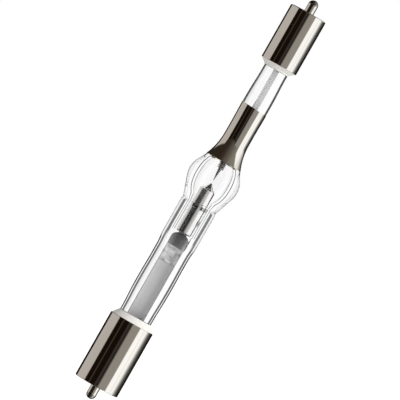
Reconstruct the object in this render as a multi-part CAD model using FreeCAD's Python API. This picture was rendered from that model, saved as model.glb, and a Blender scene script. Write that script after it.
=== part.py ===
import FreeCAD, Part
import math
import os
from FreeCAD import Placement, Rotation, Vector

# Mercury short-arc lamp, direct current, 100 watt class, about 87 mm long over its two contact pins.
# A fused-silica burner with a blown bulb stands between two nickel-plated bases of unequal size.
# The thick pointed anode comes up from the large base and the slim cathode, with its starting coil,
# comes down from the small one. Each electrode is welded to a molybdenum foil, and the quartz is
# collapsed on the foil to make the seal. A fired-on metal coat on the cathode neck keeps it hot.
# Millimetres. The origin is the centre of the anode base's seating face, with +Z along the lamp's
# axis towards the cathode. The front, where the anode foil shows its full width, looks along -Y.

# Bases: turned brass cups with a hollow contact pin, nickel plated
base_to_base = 82.0
anode_base_dia = 9.2
anode_base_length = 13.95
cathode_base_dia = 7.6
cathode_base_length = 11.55
base_wall = 0.8
base_floor = 2.0
base_edge_round = 0.18
base_rim_round = 0.08
pin_dia = 2.0
pin_length = 1.75
pin_bore_dia = 1.1
pin_mouth_chamfer = 0.2

# Base cement: ceramic putty that fills each base round the stem and ends in a conical collar
anode_cement_gap = 0.42
cathode_cement_gap = 0.5
anode_collar_height = 1.25
cathode_collar_height = 0.95
collar_rim_inset = 0.2
collar_lip = 0.1
collar_fillet_width = 0.2
collar_fillet_height = 0.3
collar_fillet_sag = 0.04
stem_end_gap = 2.0

# Arc and electrodes
light_centre = 45.0
arc_gap = 0.44
anode_dia = 3.1
anode_tip_angle = 45.0
anode_tip_flat_dia = 0.3
anode_rear_chamfer = 0.2
anode_clearance = 0.33
anode_tail_dia = 1.2
cathode_dia = 0.7
cathode_taper_length = 1.75
cathode_tip_dia = 0.1

# Cathode coil
coil_wire_dia = 0.36
coil_pitch = 0.48
coil_turns = 6.5
coil_slack = 0.01

# Seals: foils with etched feather edges and a rounded end, and the outer lead rods
anode_seat = 33.6
foil_width = 2.5
foil_thickness = 0.06
foil_edge_thickness = 0.02
foil_feather = 0.5
foil_start_gap = 0.1
weld_overlap = 2.6
cathode_weld_above_coat = 1.4
lead_dia = 1.0
lead_weld_depth = 1.8
lead_end_in_solder = 0.35
cathode_foil_turn = 73.0

# Bulb, neck and stems of the burner
bulb_dia = 10.5
bulb_wall = 2.2
bulb_offset = 0.25
bulb_crown_offset = 0.45
bulb_cone_angle = 19.8
cavity_height = 10.9
cavity_foot_round = 3.0
neck_dia = 5.24
neck_blend_radius = 12.0
neck_straight = 1.2
cathode_stem_dia = 5.34
anode_stem_wall = 1.82
crease_depth = 0.13
crease_length = 0.36
seal_dia = 7.12
seal_waist_dia = 6.96
waist_start = 0.9
waist_length = 3.4
coil_throat_clearance = 0.15
coil_throat_end = 0.25
stem_end_chamfer = 0.25

# Heat-reflecting coat on the cathode neck
coat_thickness = 0.06
coat_start = 4.25
coat_end = 16.0

# Mercury: each pool's two ends round the axis, in degrees from the front, and its height
mercury_pools = ((-35.0, 2.0, 0.75), (19.0, 58.0, 0.95), (63.0, 92.0, 0.7))
pool_drop_below_crease = 0.75
pool_contact_gap = 0.01
pool_round = 0.13

# Places along the axis that follow from the sizes above
cathode_base_rim = base_to_base - cathode_base_length
anode_collar_top = anode_base_length + anode_collar_height
cathode_collar_top = cathode_base_rim - cathode_collar_height
anode_stem_end = base_floor + stem_end_gap
cathode_stem_end = base_to_base - base_floor - stem_end_gap
anode_tip = light_centre - arc_gap / 2
cathode_tip = light_centre + arc_gap / 2
bulb_centre = light_centre + bulb_offset
coat_bottom = light_centre + coat_start
coat_top = light_centre + coat_end
coil_bottom = cathode_tip + cathode_taper_length
coil_top = coil_bottom + coil_turns * coil_pitch + coil_wire_dia
cathode_rear = coat_top + cathode_weld_above_coat

# Radii that follow from the sizes above
anode_base_radius = anode_base_dia / 2
cathode_base_radius = cathode_base_dia / 2
anode_stem_end_radius = anode_base_radius - base_wall - anode_cement_gap
cathode_stem_end_radius = cathode_base_radius - base_wall - cathode_cement_gap
pin_radius = pin_dia / 2
bore_radius = anode_dia / 2 + anode_clearance
hollow_stem_radius = bore_radius + anode_stem_wall
cavity_radius = bulb_dia / 2 - bulb_wall
bulb_crown_radius = bulb_dia / 2 - bulb_crown_offset
throat_radius = cathode_dia / 2 + coil_wire_dia + coil_throat_clearance


def at(radius, height):
    """The point of a turned profile at this radius and height."""
    return Vector(radius, 0, height)


def line(start, end):
    """A straight edge of a profile, from and to (radius, height)."""
    return Part.LineSegment(at(*start), at(*end)).toShape()


def arc(start, middle, end):
    """An arc of a profile through three (radius, height) points."""
    return Part.Arc(at(*start), at(*middle), at(*end)).toShape()


def lines(*points):
    """The straight edges that join these (radius, height) points in turn."""
    return [line(a, b) for a, b in zip(points, points[1:])]


def turned(edges):
    """The solid turned about the lamp's axis from a closed outline of edges."""
    wire = Part.Wire(Part.__sortEdges__(edges))
    return Part.Face(wire).revolve(Vector(0, 0, 0), Vector(0, 0, 1), 360)


def cylinder(radius, bottom, top):
    """A cylinder on the axis between two heights."""
    return Part.makeCylinder(radius, top - bottom, Vector(0, 0, bottom))


def ease(start, end):
    """A smooth curve from one (radius, height) to another that runs along the axis at both ends."""
    middle = (start[1] + end[1]) / 2
    curve = Part.BezierCurve()
    curve.setPoles([at(*start), at(start[0], middle), at(end[0], middle), at(*end)])
    return curve.toShape()


def upended(shape, plane_height):
    """The shape turned end for end, so that what stood at height 0 stands at plane_height."""
    return shape.transformed(
        Placement(Vector(0, 0, plane_height), Rotation(Vector(1, 0, 0), 180)).toMatrix()
    )


def faced(shape, degrees):
    """The shape turned about the lamp's axis."""
    return shape.transformed(Placement(Vector(0, 0, 0), Rotation(Vector(0, 0, 1), degrees)).toMatrix())


def crown_point(angle):
    """The (radius, height) on the bulb's crown at this many degrees above its equator."""
    turn = math.radians(angle)
    return (
        bulb_crown_offset + bulb_crown_radius * math.cos(turn),
        bulb_centre + bulb_crown_radius * math.sin(turn),
    )


def crease_point():
    """The (radius, height) of the crease where the bulb's lower cone runs into the anode stem."""
    cone_start = crown_point(-bulb_cone_angle)
    radius = hollow_stem_radius - crease_depth
    return radius, cone_start[1] - (cone_start[0] - radius) / math.tan(math.radians(bulb_cone_angle))


def burner_profile(grown):
    """The burner's outer outline from the anode end to the cathode end, moved out by grown."""
    neck_radius = neck_dia / 2
    blend_axis = neck_radius + neck_blend_radius
    centres = bulb_crown_radius + neck_blend_radius
    across = blend_axis - bulb_crown_offset
    blend_height = bulb_centre + math.sqrt(centres ** 2 - across ** 2)
    meet_angle = math.degrees(math.atan2(blend_height - bulb_centre, across))
    cone_start = crown_point(-bulb_cone_angle)
    crown_end = crown_point(meet_angle)
    blend_turn = math.radians(meet_angle) / 2
    blend_middle = (
        blend_axis - neck_blend_radius * math.cos(blend_turn),
        blend_height - neck_blend_radius * math.sin(blend_turn),
    )
    crease = crease_point()
    lip = (hollow_stem_radius, crease[1] - crease_length)
    waist_top = (hollow_stem_radius, anode_seat - waist_start)
    waist_bottom = (seal_waist_dia / 2, waist_top[1] - waist_length)
    seal_middle = (seal_dia / 2, (waist_bottom[1] + anode_collar_top) / 2)
    neck_end = (neck_radius, blend_height + neck_straight)
    stem_middle = (cathode_stem_dia / 2, (neck_end[1] + cathode_collar_top) / 2)
    anode_cement_line = (anode_stem_end_radius, anode_collar_top)
    cathode_cement_line = (cathode_stem_end_radius, cathode_collar_top)
    bevel = stem_end_chamfer

    edges = lines(
        (anode_stem_end_radius - bevel, anode_stem_end),
        (anode_stem_end_radius, anode_stem_end + bevel),
        anode_cement_line,
    )
    edges.append(ease(anode_cement_line, seal_middle))
    edges.append(ease(seal_middle, waist_bottom))
    edges.append(ease(waist_bottom, waist_top))
    edges += lines(waist_top, lip, crease, cone_start)
    edges.append(arc(cone_start, crown_point(0), crown_end))
    edges.append(arc(crown_end, blend_middle, (neck_radius, blend_height)))
    edges.append(line((neck_radius, blend_height), neck_end))
    edges.append(ease(neck_end, stem_middle))
    edges.append(ease(stem_middle, cathode_cement_line))
    edges += lines(
        cathode_cement_line,
        (cathode_stem_end_radius, cathode_stem_end - bevel),
        (cathode_stem_end_radius - bevel, cathode_stem_end),
    )
    for edge in edges:
        edge.translate(Vector(grown, 0, 0))
    return edges


def burner_blank(grown=0.0):
    """The burner's outer form as one solid of glass, before its hollows, moved out by grown."""
    start = (anode_stem_end_radius - stem_end_chamfer + grown, anode_stem_end)
    end = (cathode_stem_end_radius - stem_end_chamfer + grown, cathode_stem_end)
    edges = burner_profile(grown)
    edges += [line((0, anode_stem_end), start)]
    edges += lines(end, (0, cathode_stem_end), (0, anode_stem_end))
    return turned(edges)


def cavity_foot():
    """The rounded shoulder between the anode's bore and the cavity, as its start, middle and end points.

    Its arc leaves the bore's wall along the axis and runs tangent into the oval wall. The place on the oval
    is found by halving, since the arc's centre stands a round away from both walls.
    """
    half_height = cavity_height / 2
    below, above = -math.pi / 2, 0.0
    for _ in range(50):
        turn = (below + above) / 2
        out = Vector(math.cos(turn) / cavity_radius, 0, math.sin(turn) / half_height).normalize()
        wall = at(cavity_radius * math.cos(turn), bulb_centre + half_height * math.sin(turn))
        centre = wall + out * cavity_foot_round
        if centre.x > bore_radius + cavity_foot_round:
            above = turn
        else:
            below = turn
    halfway = (out + Vector(1, 0, 0)).normalize()
    middle = centre - halfway * cavity_foot_round
    return (bore_radius, centre.z), (middle.x, middle.z), (wall.x, wall.z)


def gas_space():
    """The hollow of the burner: the anode's bore, the bulb's oval cavity and the throat round the coil."""
    foot_start, foot_middle, foot_end = cavity_foot()
    throat_rise = cavity_height / 2 * math.sqrt(1 - (throat_radius / cavity_radius) ** 2)
    throat_bottom = (throat_radius, bulb_centre + throat_rise)
    throat_top = coil_top + coil_throat_end
    edges = lines((0, anode_seat), (bore_radius, anode_seat), foot_start)
    edges.append(arc(foot_start, foot_middle, foot_end))
    edges.append(arc_of_ellipse(foot_end, throat_bottom))
    edges += lines(throat_bottom, (throat_radius, throat_top), (0, throat_top), (0, anode_seat))
    return turned(edges)


def arc_of_ellipse(start, end):
    """The cavity's wall, an upright ellipse, between two of its (radius, height) points."""
    centre = at(0, bulb_centre)
    ellipse = Part.Ellipse(at(0, bulb_centre + cavity_height / 2), at(cavity_radius, bulb_centre), centre)
    first, last = sorted((ellipse.parameter(at(*start)), ellipse.parameter(at(*end))))
    if ellipse.value((first + last) / 2).x < 0:
        first, last = last, first + 2 * math.pi
    return Part.ArcOfEllipse(ellipse, first, last).toShape()


def burner(inserts):
    """The quartz burner: its blank less the gas space and the beds of everything sealed into it."""
    glass = burner_blank().cut(gas_space())
    for insert in inserts:
        glass = glass.cut(insert)
    return glass.removeSplitter()


def foil(bottom, top, round_top):
    """A molybdenum foil in the XZ plane with feathered sides and one end rounded like its width."""
    half = foil_width / 2
    flat = half - foil_feather
    face = foil_thickness / 2
    edge = foil_edge_thickness / 2
    front = [(-half, -edge), (-flat, -face), (flat, -face), (half, -edge)]
    back = [(-x, -y) for x, y in front]
    section = Part.makePolygon([Vector(x, y, bottom) for x, y in front + back + front[:1]])
    strip = Part.Face(section).extrude(Vector(0, 0, top - bottom))
    round_centre = top - half if round_top else bottom + half
    straight_bottom = bottom if round_top else round_centre
    straight_top = round_centre if round_top else top
    depth = 2 * foil_thickness
    rounded = Part.makeCylinder(half, depth, Vector(0, -foil_thickness, round_centre), Vector(0, 1, 0))
    straight = Part.makeBox(
        foil_width, depth, straight_top - straight_bottom, Vector(-half, -foil_thickness, straight_bottom)
    )
    return strip.common(straight.fuse(rounded).removeSplitter())


def flatted(rod, foil_solid, bottom, top, radius):
    """The rod with its front half ground away between two heights, where the foil is welded on."""
    ground = Part.makeBox(2 * radius, radius, top - bottom, Vector(-radius, -radius, bottom))
    return rod.cut(ground).cut(foil_solid)


def anode(foil_solid):
    """The anode: one turned tungsten rod with a pointed front and a thin half-round tail for the foil."""
    radius = anode_dia / 2
    flat = anode_tip_flat_dia / 2
    shoulder = anode_tip - (radius - flat) / math.tan(math.radians(anode_tip_angle))
    tail_radius = anode_tail_dia / 2
    tail_end = anode_seat - foil_start_gap - weld_overlap
    edges = lines(
        (0, tail_end),
        (tail_radius, tail_end),
        (tail_radius, anode_seat),
        (radius - anode_rear_chamfer, anode_seat),
        (radius, anode_seat + anode_rear_chamfer),
        (radius, shoulder),
        (flat, anode_tip),
        (0, anode_tip),
        (0, tail_end),
    )
    return flatted(turned(edges), foil_solid, tail_end, anode_seat - foil_start_gap, tail_radius)


def cathode(foil_solid):
    """The cathode: a thin tungsten rod with a long slender point, ground flat at its rear for the foil."""
    radius = cathode_dia / 2
    edges = lines(
        (0, cathode_tip),
        (cathode_tip_dia / 2, cathode_tip),
        (radius, coil_bottom),
        (radius, cathode_rear),
        (0, cathode_rear),
        (0, cathode_tip),
    )
    return flatted(turned(edges), foil_solid, cathode_rear - weld_overlap, cathode_rear, radius)


def cathode_coil():
    """The starting coil: tungsten wire wound round the cathode behind its point."""
    wire_radius = coil_wire_dia / 2
    wind_radius = cathode_dia / 2 + wire_radius + coil_slack
    path = Part.makeHelix(coil_pitch, coil_turns * coil_pitch, wind_radius)
    path.translate(Vector(0, 0, coil_bottom + wire_radius))
    start = Vector(wind_radius, 0, coil_bottom + wire_radius)
    heading = Vector(0, 2 * math.pi * wind_radius, coil_pitch)
    section = Part.Wire([Part.Circle(start, heading, wire_radius).toShape()])
    return Part.Wire(path.Edges).makePipeShell([section], True, True)


def lead(foil_solid, foil_bottom):
    """The anode side's lead rod, from inside the pin's solder up to its weld on the foil."""
    radius = lead_dia / 2
    top = foil_bottom + weld_overlap
    rod = cylinder(radius, -pin_length - lead_end_in_solder, top)
    return flatted(rod, foil_solid, foil_bottom, top, radius)


def base(radius, length):
    """A base with its pin down: a turned cup whose end carries the hollow contact pin."""
    bore = pin_bore_dia / 2
    inside = radius - base_wall
    edge = base_edge_round
    rim = base_rim_round
    corner = 1 - math.sqrt(0.5)
    mouth = pin_mouth_chamfer
    edges = lines((bore, -pin_length), (pin_radius, -pin_length), (pin_radius, 0), (radius - edge, 0))
    edges.append(arc((radius - edge, 0), (radius - edge * corner, edge * corner), (radius, edge)))
    edges += lines((radius, edge), (radius, length - rim))
    rim_middle = (radius - rim * corner, length - rim * corner)
    edges.append(arc((radius, length - rim), rim_middle, (radius - rim, length)))
    edges += lines(
        (radius - rim, length),
        (inside, length),
        (inside, base_floor),
        (bore + mouth, base_floor),
        (bore, base_floor - mouth),
        (bore, -pin_length),
    )
    return turned(edges)


def solder_dome(lead_solid):
    """The rounded bead of solder that closes a pin and holds the end of its lead."""
    ball = Part.makeSphere(pin_radius, Vector(0, 0, -pin_length))
    return ball.common(cylinder(pin_radius, -pin_length - pin_radius, -pin_length)).cut(lead_solid)


def cement(radius, length, collar_height, stem_radius, blank, lead_solid):
    """The cement of one base: it fills the cup round the stem and ends in a coned collar above the rim."""
    inside = radius - base_wall
    top = length + collar_height
    lip = (stem_radius + collar_lip, top)
    foot = (radius - collar_rim_inset, length)
    slope_end = (lip[0] + collar_fillet_width, top - collar_fillet_height)
    hollow = (
        (lip[0] + slope_end[0]) / 2 - collar_fillet_sag,
        (lip[1] + slope_end[1]) / 2 - collar_fillet_sag,
    )
    edges = lines((0, base_floor), (inside, base_floor), (inside, length), foot, slope_end)
    edges.append(arc(slope_end, hollow, lip))
    edges += lines(lip, (0, top), (0, base_floor))
    return turned(edges).cut(blank).cut(lead_solid)


def reflector_coat():
    """The metal coat on the cathode neck, from the bulb's shoulder to half way up the stem."""
    reach = bulb_dia
    band = cylinder(reach, coat_bottom, coat_top)
    return burner_blank(coat_thickness).common(band).cut(burner_blank())


def mercury_pool(first, last, height):
    """A pool of mercury between two angles from the front, squeezed in the gap round the anode."""
    inside = anode_dia / 2 + pool_contact_gap
    outside = bore_radius - pool_contact_gap
    bottom = crease_point()[1] - pool_drop_below_crease
    top = bottom + height
    corners = [(inside, bottom), (outside, bottom), (outside, top), (inside, top)]
    section = Part.makePolygon([at(*corner) for corner in corners + corners[:1]])
    sector = Part.Face(section).revolve(Vector(0, 0, 0), Vector(0, 0, 1), last - first)
    rounded = sector.makeFillet(pool_round, sector.Edges)
    return faced(rounded, first - 90)


def lamp():
    """Every piece of the lamp, by name."""
    anode_foil_bottom = anode_base_length - lead_weld_depth - weld_overlap
    anode_foil = foil(anode_foil_bottom, anode_seat - foil_start_gap, True)
    anode_rod = anode(anode_foil)
    anode_lead = lead(anode_foil, anode_foil_bottom)

    cathode_foil_top = cathode_base_rim + lead_weld_depth + weld_overlap
    cathode_foil = foil(cathode_rear - weld_overlap, cathode_foil_top, False)
    cathode_rod = cathode(cathode_foil)
    mirrored_foil = upended(cathode_foil, base_to_base)
    cathode_lead = upended(lead(mirrored_foil, base_to_base - cathode_foil_top), base_to_base)
    cathode_side = (cathode_foil, cathode_rod, cathode_lead)
    cathode_foil, cathode_rod, cathode_lead = (faced(p, cathode_foil_turn) for p in cathode_side)
    sealed_in = [anode_foil, anode_rod, anode_lead, cathode_foil, cathode_rod, cathode_lead]

    blank = burner_blank()
    upended_blank = upended(blank, base_to_base)
    upended_lead = upended(cathode_lead, base_to_base)
    cathode_cement = cement(
        cathode_base_radius,
        cathode_base_length,
        cathode_collar_height,
        cathode_stem_end_radius,
        upended_blank,
        upended_lead,
    )
    return {
        "quartz_burner": burner(sealed_in),
        "reflector_coat": reflector_coat(),
        "anode": anode_rod,
        "anode_foil": anode_foil,
        "anode_lead_rod": anode_lead,
        "anode_base": base(anode_base_radius, anode_base_length),
        "anode_base_cement": cement(
            anode_base_radius,
            anode_base_length,
            anode_collar_height,
            anode_stem_end_radius,
            blank,
            anode_lead,
        ),
        "anode_pin_solder": solder_dome(anode_lead),
        "cathode": cathode_rod,
        "cathode_coil": cathode_coil(),
        "cathode_foil": cathode_foil,
        "cathode_lead_rod": cathode_lead,
        "cathode_base": upended(base(cathode_base_radius, cathode_base_length), base_to_base),
        "cathode_base_cement": upended(cathode_cement, base_to_base),
        "cathode_pin_solder": upended(solder_dome(upended_lead), base_to_base),
        "mercury_pools": Part.Compound([mercury_pool(*pool) for pool in mercury_pools]),
    }


os.makedirs("parts", exist_ok=True)
for name, shape in lamp().items():
    shape.exportStep(f"parts/{name}.step")
    print(f"{name}: {len(shape.Solids)} solid, {shape.Volume:.2f} mm3, valid {shape.isValid()}")
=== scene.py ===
"""Looks of a mercury short-arc lamp: its glass, plating, electrodes and a plain studio."""

import logging
import math
from collections.abc import Callable, Iterable
from dataclasses import dataclass, field
from enum import Enum
from functools import cache

import bpy
from mathutils import Matrix, Vector, noise


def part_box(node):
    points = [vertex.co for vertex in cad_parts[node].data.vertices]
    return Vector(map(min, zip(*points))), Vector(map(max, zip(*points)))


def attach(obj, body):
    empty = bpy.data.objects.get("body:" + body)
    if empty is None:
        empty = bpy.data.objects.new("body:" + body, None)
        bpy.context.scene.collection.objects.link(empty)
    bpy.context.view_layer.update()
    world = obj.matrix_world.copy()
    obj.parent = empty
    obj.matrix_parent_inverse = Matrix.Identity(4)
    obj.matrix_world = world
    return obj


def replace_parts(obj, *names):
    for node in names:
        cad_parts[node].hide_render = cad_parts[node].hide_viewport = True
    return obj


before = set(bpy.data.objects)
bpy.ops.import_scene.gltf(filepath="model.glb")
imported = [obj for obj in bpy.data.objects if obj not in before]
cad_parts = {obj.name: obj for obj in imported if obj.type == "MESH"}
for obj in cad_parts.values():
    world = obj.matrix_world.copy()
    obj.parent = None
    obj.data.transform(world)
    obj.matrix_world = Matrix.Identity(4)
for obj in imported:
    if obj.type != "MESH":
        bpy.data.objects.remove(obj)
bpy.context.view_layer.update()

MM = 0.001
# Points closer than this, in millimetres, are one point.
TOUCH = 1e-6
# How far a held run's extra points lie from its ends: in millimetres, and at most as a share of it.
MARGIN = 0.04
MOST_MARGIN = 0.3
# Past this angle, in degrees, an edge stays sharp.
CREASE = 32.0

Point = tuple[float, float]
Triple = tuple[float, float, float]
Colour = Triple
Shape = tuple[list[Vector], list[tuple[int, ...]]]
Tones = tuple[tuple[float, float], ...]
Bands = tuple[tuple[float, Colour], ...]
Warp = Callable[[float, float, float], Point]
Plug = bpy.types.NodeSocket
Piece = bpy.types.Object

EVEN: Triple = (1.0, 1.0, 1.0)
WHITE: Colour = (1.0, 1.0, 1.0)
BLACK: Colour = (0.011, 0.006, 0.003)

log = logging.getLogger("lamp")


def grey(level: float) -> Colour:
    """A colour without a hue."""
    return level, level, level


class Side(Enum):
    """The two ends of the lamp."""

    ANODE = "anode"
    CATHODE = "cathode"


class Socket(Enum):
    """The inputs of the shader that more than one finish sets."""

    COLOUR = "Base Color"
    METAL = "Metallic"
    ROUGHNESS = "Roughness"
    IOR = "IOR"
    NORMAL = "Normal"
    TRANSMISSION = "Transmission Weight"
    SPECULAR = "Specular IOR Level"


class Space(Enum):
    """The kinds of place that a node reads."""

    OWN = "Object"
    SKY = "Generated"


@dataclass(frozen=True)
class Grain:
    """Noise in an object's own space: how much finer along each axis, lumps per millimetre, octaves."""

    stretch: Triple
    scale: float
    detail: float = 3.0


class NodeSheet:
    """A short way to lay out the shader nodes of one material or world."""

    def __init__(self, owner: bpy.types.Material | bpy.types.World) -> None:
        """Start an empty node sheet.

        Args:
            owner: The material or world that the nodes belong to.
        """
        owner.use_nodes = True
        self.tree = owner.node_tree
        self.tree.nodes.clear()

    def add(self, kind: str, **settings: object) -> bpy.types.Node:
        """Add a node.

        Args:
            kind: Blender's type name of the node, without its ShaderNode prefix.
            **settings: Properties to set on the node.

        Returns:
            The new node.
        """
        node = self.tree.nodes.new(f"ShaderNode{kind}")
        for key, value in settings.items():
            setattr(node, key, value)
        return node

    def join(self, source: Plug, target: Plug) -> None:
        """Link an output to an input."""
        self.tree.links.new(source, target)

    def feed(self, target: Plug, value: object) -> None:
        """Set an input to a constant, or link it where the value is an output.

        Args:
            target: The input.
            value: A number, a colour or another node's output.
        """
        if isinstance(value, Plug):
            self.join(value, target)
        else:
            target.default_value = value

    def maths(self, operation: str, *values: object, clamp: bool = False) -> Plug:
        """Work out one number.

        Args:
            operation: The Math node's operation.
            *values: Up to three numbers or outputs.
            clamp: Whether the result stays between 0 and 1.

        Returns:
            The output that holds the result.
        """
        node = self.add("Math", operation=operation, use_clamp=clamp)
        for socket, value in zip(node.inputs, values):
            self.feed(socket, value)
        return node.outputs[0]

    def blend(self, factor: object, first: object, second: object) -> Plug:
        """Mix two colours.

        Args:
            factor: 0 gives the first colour and 1 the second.
            first: The first colour or output.
            second: The second colour or output.

        Returns:
            The output that holds the mixed colour.
        """
        node = self.add("Mix", data_type="RGBA")
        for name, value in zip(("Factor_Float", "A_Color", "B_Color"), (factor, first, second)):
            socket = next(s for s in node.inputs if s.identifier == name)
            self.feed(socket, (*value, 1.0) if isinstance(value, tuple) and len(value) == 3 else value)
        return next(s for s in node.outputs if s.identifier == "Result_Color")

    def ramp(self, factor: object, stops: Iterable[tuple[float, Colour]]) -> Plug:
        """Turn a number into a colour by stops.

        Args:
            factor: The number or output to look up.
            stops: Each stop's position, from 0 to 1, and its colour.

        Returns:
            The output that holds the colour.
        """
        node = self.add("ValToRGB")
        elements = node.color_ramp.elements
        listed = list(stops)
        while len(elements) < len(listed):
            elements.new(1.0)
        for element, (position, colour) in zip(elements, listed):
            element.position = position
            element.color = (*colour, 1.0)
        self.feed(node.inputs["Fac"], factor)
        return node.outputs["Color"]

    def share(self, value: Plug, low: float, high: float, ends: Point = (0.0, 1.0)) -> Plug:
        """Turn one stretch of numbers into another, and hold its ends.

        Args:
            value: The output to look up.
            low: Where the stretch starts.
            high: Where the stretch ends.
            ends: What the two ends turn into.

        Returns:
            The output that holds the result.
        """
        node = self.add("MapRange")
        numbers = {"Value": value, "From Min": low, "From Max": high, "To Min": ends[0], "To Max": ends[1]}
        for name, number in numbers.items():
            self.feed(node.inputs[name], number)
        return node.outputs[0]

    def scaled(self, colour: Plug, factor: object) -> Plug:
        """Make a colour brighter or darker.

        Args:
            colour: The output that holds the colour.
            factor: The number or output that multiplies it.

        Returns:
            The output that holds the new colour.
        """
        node = self.add("VectorMath", operation="SCALE")
        self.join(colour, node.inputs[0])
        self.feed(node.inputs["Scale"], factor)
        return node.outputs[0]

    def axes(self, space: Space) -> tuple[Plug, Plug, Plug]:
        """Give X, Y and Z, in metres on an object and as a direction in the world.

        Args:
            space: The kind of place.

        Returns:
            The three outputs.
        """
        coordinates = self.add("TexCoord")
        split = self.add("SeparateXYZ")
        self.join(coordinates.outputs[space.value], split.inputs[0])
        return split.outputs[0], split.outputs[1], split.outputs[2]

    def grain(self, grain: Grain) -> Plug:
        """Lay out noise.

        Args:
            grain: The kind of noise.

        Returns:
            The output that holds the noise, about 0 to 1.
        """
        place = self.add("TexCoord")
        mapping = self.add("Mapping")
        mapping.inputs["Scale"].default_value = tuple(s / MM for s in grain.stretch)
        texture = self.add("TexNoise")
        texture.inputs["Scale"].default_value = grain.scale
        texture.inputs["Detail"].default_value = grain.detail
        self.join(place.outputs[Space.OWN.value], mapping.inputs["Vector"])
        self.join(mapping.outputs["Vector"], texture.inputs["Vector"])
        return texture.outputs["Fac"]

    def relief(self, height: Plug, depth: float) -> Plug:
        """Turn a height into a bump.

        Args:
            height: The output that holds the height, from 0 to 1.
            depth: The real depth of the relief, in millimetres.

        Returns:
            The output that holds the bumped normal.
        """
        bump = self.add("Bump")
        bump.inputs["Distance"].default_value = depth * MM
        self.join(height, bump.inputs["Height"])
        return bump.outputs["Normal"]

    def surface(self, values: dict[Socket, object]) -> None:
        """End the sheet in one Principled shader.

        Args:
            values: What each named input is set or linked to.
        """
        shader = self.add("BsdfPrincipled")
        for socket, value in values.items():
            self.feed(shader.inputs[socket.value], value)
        output = self.add("OutputMaterial")
        self.join(shader.outputs[0], output.inputs["Surface"])


@dataclass(frozen=True)
class Finish:
    """What every finish has: a name, a slot name and a way to make its material."""

    name: str
    slot: str

    def lay_out(self, sheet: NodeSheet) -> None:
        """Lay out the shader nodes on the sheet."""
        raise NotImplementedError

    def material(self) -> bpy.types.Material:
        """Make the material, or give the one made before.

        Returns:
            The material.
        """
        made = bpy.data.materials.get(self.name)
        if made is None:
            made = bpy.data.materials.new(self.name)
            self.lay_out(NodeSheet(made))
        return made


@dataclass(frozen=True)
class PaintedRimShade:
    """How one stretch of glass gets painted shade where the eye meets it at a slant: dark rims in its colour
    that stand in for the dark studio seen through its steep sides.

    Each line runs from one share of slant to another, 0 facing the eye and 1 edge on, and keeps a share
    of the light.
    """

    lines: tuple[Triple, ...]
    feather: float = 0.02

    def stops(self) -> list[tuple[float, Colour]]:
        """Turn the lines into stops for a ramp.

        Returns:
            Each stop's position and colour.
        """
        stops = [(0.0, WHITE)]
        for start, end, light in self.lines:
            # Each line's grey is painted shade in the glass's colour.
            tint_and_painted_shade = grey(light ** 2)
            stops.append((start - self.feather, WHITE))
            stops.append((start + self.feather, tint_and_painted_shade))
            stops.append((end - self.feather, tint_and_painted_shade))
            if end < 1.0:
                stops.append((end + self.feather, WHITE))
        return stops


@dataclass(frozen=True)
class FusedSilica(Finish):
    """Clear quartz glass."""

    ior: float = 1.46

    def glaze(self, sheet: NodeSheet, tint_and_painted_shade: object, normal: Plug) -> None:
        """End a sheet in clear glass.

        Args:
            sheet: The material's nodes.
            tint_and_painted_shade: The glass's colour, with any painted rim shade on it.
            normal: The output that holds its waves.
        """
        sheet.surface({
            Socket.COLOUR: tint_and_painted_shade,
            Socket.ROUGHNESS: 0.0,
            Socket.IOR: self.ior,
            Socket.TRANSMISSION: 1.0,
            Socket.NORMAL: normal,
        })


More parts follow.
